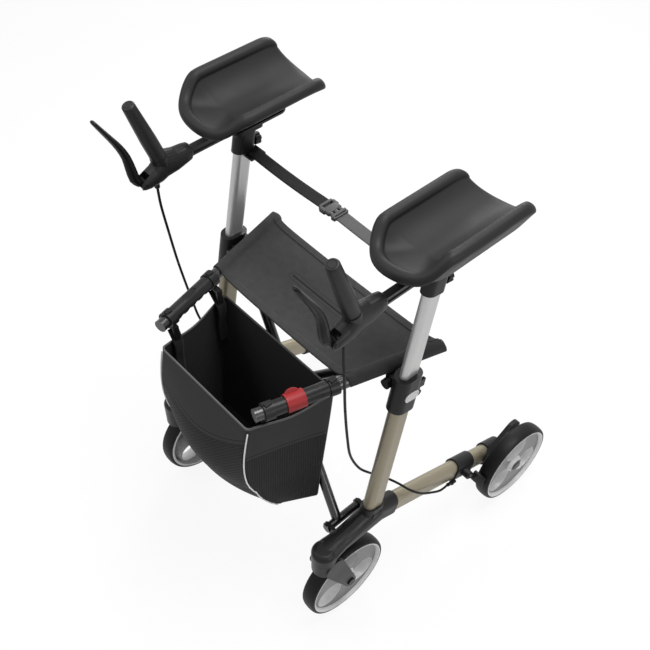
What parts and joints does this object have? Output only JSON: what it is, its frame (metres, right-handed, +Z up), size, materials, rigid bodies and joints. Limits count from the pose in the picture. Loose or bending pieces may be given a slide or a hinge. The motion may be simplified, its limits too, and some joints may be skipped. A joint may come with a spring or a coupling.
{
  "type": "upright walker",
  "caption": "Folding upright walker on wheels with forearm troughs, hand grips with brake levers, a cloth seat, a cross-braced frame and a hanging bag.",
  "frame": {"origin": "on the ground under the middle of the part's box, midway between the side frames", "axes": "+Z up, front towards -Y, the user's left side towards +X"},
  "size_m": [0.6326, 0.7306, 1.0273],
  "materials": {
    "black_casting": "moulded, fine grain",
    "champagne_paint": "satin metallic paint",
    "dark_bolts": "dark plated",
    "black_plastic": "moulded, fine grain",
    "white_reflector": "prismatic",
    "silver_tube": "anodised",
    "black_rail": "satin",
    "pad_foam": "moulded foam skin",
    "grip_rubber": "soft, matt",
    "lever_plastic": "satin",
    "cable_sheath": "smooth",
    "tyre_rubber": "matt",
    "grey_rim": "satin grey",
    "black_tube": "satin black paint",
    "red_plastic": "moulded",
    "steel_bolt": "plated",
    "seat_cloth": "woven mesh",
    "bag_cloth": "woven, ribbed mesh",
    "webbing": "woven webbing"
  },
  "bodies": {
    "left_side": {"left_front_casting": "black_casting", "left_upright": "champagne_paint", "left_base_tube": "champagne_paint", "left_rear_bracket": "black_casting", "left_frame_bolts": "dark_bolts", "left_collar": "black_plastic", "left_reflector": "white_reflector", "left_brake_collar": "black_plastic", "left_brake_cable": "cable_sheath"},
    "left_arm": {"left_inner_tube": "silver_tube", "left_arm_bracket": "black_plastic", "left_forearm_pad": "pad_foam", "belt": "webbing", "buckle": "black_plastic"},
    "left_hand": {"left_rail": "black_rail", "left_grip_housing": "black_plastic", "left_grip": "grip_rubber"},
    "left_lever": {"left_brake_lever": "lever_plastic"},
    "left_clamp": {"left_clamp_lever": "black_plastic"},
    "left_knob": {"left_arm_knob": "black_plastic"},
    "left_caster": {"left_caster_fork": "black_casting"},
    "left_front_wheel": {"left_front_tyre": "tyre_rubber", "left_front_rim": "grey_rim"},
    "left_rear_wheel": {"left_rear_tyre": "tyre_rubber", "left_rear_rim": "grey_rim"},
    "left_shoe": {"left_brake_shoe": "black_plastic"},
    "right_side": {"right_front_casting": "black_casting", "right_upright": "champagne_paint", "right_base_tube": "champagne_paint", "right_rear_bracket": "black_casting", "right_frame_bolts": "dark_bolts", "right_collar": "black_plastic", "right_reflector": "white_reflector", "right_brake_collar": "black_plastic", "right_brake_cable": "cable_sheath"},
    "right_arm": {"right_inner_tube": "silver_tube", "right_arm_bracket": "black_plastic", "right_forearm_pad": "pad_foam"},
    "right_hand": {"right_rail": "black_rail", "right_grip_housing": "black_plastic", "right_grip": "grip_rubber"},
    "right_lever": {"right_brake_lever": "lever_plastic"},
    "right_clamp": {"right_clamp_lever": "black_plastic"},
    "right_knob": {"right_arm_knob": "black_plastic"},
    "right_caster": {"right_caster_fork": "black_casting"},
    "right_front_wheel": {"right_front_tyre": "tyre_rubber", "right_front_rim": "grey_rim"},
    "right_rear_wheel": {"right_rear_tyre": "tyre_rubber", "right_rear_rim": "grey_rim"},
    "right_shoe": {"right_brake_shoe": "black_plastic"},
    "left_brace": {"left_seat_frame": "black_tube", "left_bag_clips": "black_plastic", "left_tube_grip": "black_plastic"},
    "right_brace": {"right_seat_frame": "black_tube", "right_bag_clips": "black_plastic", "right_tube_grip": "black_plastic", "cross_bolt": "steel_bolt"},
    "tab": {"lock_tab": "red_plastic"},
    "seat_sling": {"seat": "seat_cloth"},
    "hanging_bag": {"bag": "bag_cloth"}
  },
  "joints": [
    {"name": "fold", "type": "hinge", "parent": "left_side", "child": "right_brace", "pos_m": [0.205, -0.176, 0.239], "axis": [0, 1, 0], "range_deg": [0, 28], "deforming": ["seat", "bag", "belt", "buckle"]},
    {"name": "fold_cross", "type": "hinge", "parent": "right_brace", "child": "left_brace", "pos_m": [0, -0.12257, 0.43338], "axis": [0, 1, 0], "range_deg": [-56, 0]},
    {"name": "fold_right", "type": "hinge", "parent": "left_brace", "child": "right_side", "pos_m": [-0.205, -0.176, 0.239], "axis": [0, 1, 0], "range_deg": [0, 28]},
    {"name": "fold_seat", "type": "hinge", "parent": "right_brace", "child": "seat_sling", "pos_m": [-0.20549, -0.064, 0.62822], "axis": [0, 1, 0], "range_deg": [-28, 0]},
    {"name": "fold_bag", "type": "hinge", "parent": "right_brace", "child": "hanging_bag", "pos_m": [-0.15636, -0.245, 0.63443], "axis": [0, 1, 0], "range_deg": [-28, 0]},
    {"name": "tab_turn", "type": "hinge", "parent": "left_brace", "child": "tab", "pos_m": [0.15473, -0.251, 0.63463], "axis": [0.2618, 0.9646, -0.0331], "range_deg": [0, 30], "stiffness_Nm_per_rad": 0.05},
    {"name": "left_height", "type": "slide", "parent": "left_side", "child": "left_arm", "axis": [0, 0.196, 0.9806], "range_m": [-0.12, 0.1], "deforming": ["left_brake_cable"]},
    {"name": "left_reach", "type": "slide", "parent": "left_arm", "child": "left_hand", "axis": [0, 1, 0], "range_m": [-0.03, 0.03], "deforming": ["left_brake_cable"]},
    {"name": "left_brake", "type": "hinge", "parent": "left_hand", "child": "left_lever", "pos_m": [0.245, -0.248, 0.864], "axis": [-1, 0, 0], "range_deg": [0, 14], "stiffness_Nm_per_rad": 1.2},
    {"name": "left_shoe_swing", "type": "hinge", "parent": "left_side", "child": "left_shoe", "pos_m": [0.272, 0.13312, 0.15077], "axis": [1, 0, 0], "range_deg": [0, 3.5]},
    {"name": "left_clamp_swing", "type": "hinge", "parent": "left_side", "child": "left_clamp", "pos_m": [0.245, -0.03772, 0.59813], "axis": [1, 0, 0], "range_deg": [0, 90]},
    {"name": "left_knob_turn", "type": "hinge", "parent": "left_arm", "child": "left_knob", "pos_m": [0.245, -0.02635, 0.83879], "axis": [0, 0.9806, -0.196], "range_deg": [0, 270]},
    {"name": "left_swivel", "type": "hinge", "parent": "left_side", "child": "left_caster", "pos_m": [0.245, -0.264, 0.23], "axis": [0, 0, 1], "continuous": true},
    {"name": "left_front_roll", "type": "hinge", "parent": "left_caster", "child": "left_front_wheel", "pos_m": [0.245, -0.213, 0.1], "axis": [1, 0, 0], "continuous": true},
    {"name": "left_rear_roll", "type": "hinge", "parent": "left_side", "child": "left_rear_wheel", "pos_m": [0.294, 0.261, 0.1], "axis": [1, 0, 0], "continuous": true},
    {"name": "right_height", "type": "slide", "parent": "right_side", "child": "right_arm", "axis": [0, 0.196, 0.9806], "range_m": [-0.12, 0.1], "deforming": ["right_brake_cable"]},
    {"name": "right_reach", "type": "slide", "parent": "right_arm", "child": "right_hand", "axis": [0, 1, 0], "range_m": [-0.03, 0.03], "deforming": ["right_brake_cable"]},
    {"name": "right_brake", "type": "hinge", "parent": "right_hand", "child": "right_lever", "pos_m": [-0.245, -0.248, 0.864], "axis": [-1, 0, 0], "range_deg": [0, 14], "stiffness_Nm_per_rad": 1.2},
    {"name": "right_shoe_swing", "type": "hinge", "parent": "right_side", "child": "right_shoe", "pos_m": [-0.272, 0.13312, 0.15077], "axis": [1, 0, 0], "range_deg": [0, 3.5]},
    {"name": "right_clamp_swing", "type": "hinge", "parent": "right_side", "child": "right_clamp", "pos_m": [-0.245, -0.03772, 0.59813], "axis": [1, 0, 0], "range_deg": [0, 90]},
    {"name": "right_knob_turn", "type": "hinge", "parent": "right_arm", "child": "right_knob", "pos_m": [-0.245, -0.02635, 0.83879], "axis": [0, 0.9806, -0.196], "range_deg": [0, 270]},
    {"name": "right_swivel", "type": "hinge", "parent": "right_side", "child": "right_caster", "pos_m": [-0.245, -0.264, 0.23], "axis": [0, 0, 1], "continuous": true},
    {"name": "right_front_roll", "type": "hinge", "parent": "right_caster", "child": "right_front_wheel", "pos_m": [-0.245, -0.213, 0.1], "axis": [1, 0, 0], "continuous": true},
    {"name": "right_rear_roll", "type": "hinge", "parent": "right_side", "child": "right_rear_wheel", "pos_m": [-0.294, 0.261, 0.1], "axis": [1, 0, 0], "continuous": true}
  ],
  "couplings": [
    {"joint": "fold_cross", "follows": "fold", "ratio": -2},
    {"joint": "fold_right", "follows": "fold", "ratio": 1},
    {"joint": "fold_seat", "follows": "fold", "ratio": -1},
    {"joint": "fold_bag", "follows": "fold", "ratio": -1},
    {"joint": "right_height", "follows": "left_height", "ratio": 1},
    {"joint": "left_shoe_swing", "follows": "left_brake", "ratio": 0.25},
    {"joint": "right_shoe_swing", "follows": "right_brake", "ratio": 0.25}
  ]
}
